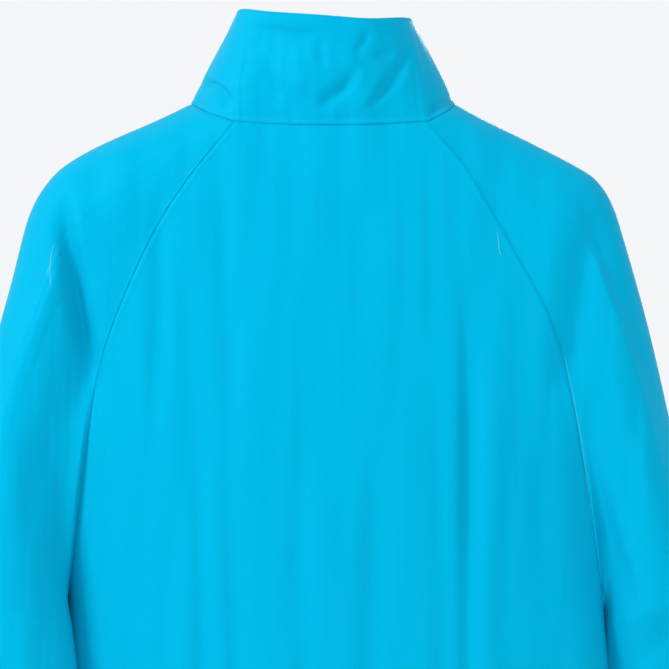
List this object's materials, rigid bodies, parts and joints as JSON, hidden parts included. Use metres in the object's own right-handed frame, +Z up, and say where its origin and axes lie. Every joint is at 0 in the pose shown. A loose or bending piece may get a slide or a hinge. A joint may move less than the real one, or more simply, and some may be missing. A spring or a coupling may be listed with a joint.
{
  "type": "windbreaker jacket on a hanger",
  "caption": "Raglan-sleeved zip-front windbreaker with a tall standing collar and elastic hem and cuffs, hung on a plain hanger.",
  "frame": {"origin": "inside top of the hanger's hook, where the hanger rests on its rod", "axes": "+Z up, -Y out of the jacket's front, +Y out of its back, +X to the wearer's left"},
  "size_m": [0.7211, 0.1517, 0.8163],
  "materials": {
    "nylon": "smooth thin nylon with a slight sheen",
    "nylon_band": "gathered nylon over elastic",
    "zip_tape": "woven tape",
    "hanger_plastic": "moulded",
    "zip_metal": "nickel plated"
  },
  "bodies": {
    "jacket": {"back": "nylon", "front_left": "nylon", "front_right": "nylon", "sleeve_left": "nylon", "sleeve_right": "nylon", "collar": "nylon", "hem_band": "nylon_band", "cuff_left": "nylon_band", "cuff_right": "nylon_band", "zip_tape_left": "zip_tape", "zip_tape_right": "zip_tape", "hanger": "hanger_plastic", "zip_slider": "zip_metal"},
    "pull_tab": {"zip_pull": "zip_metal"}
  },
  "joints": [
    {"name": "pull_tab_swing", "type": "hinge", "parent": "jacket", "child": "pull_tab", "pos_m": [0, -0.08521, -0.04641], "axis": [-1, 0, 0], "range_deg": [-12, 140]}
  ]
}
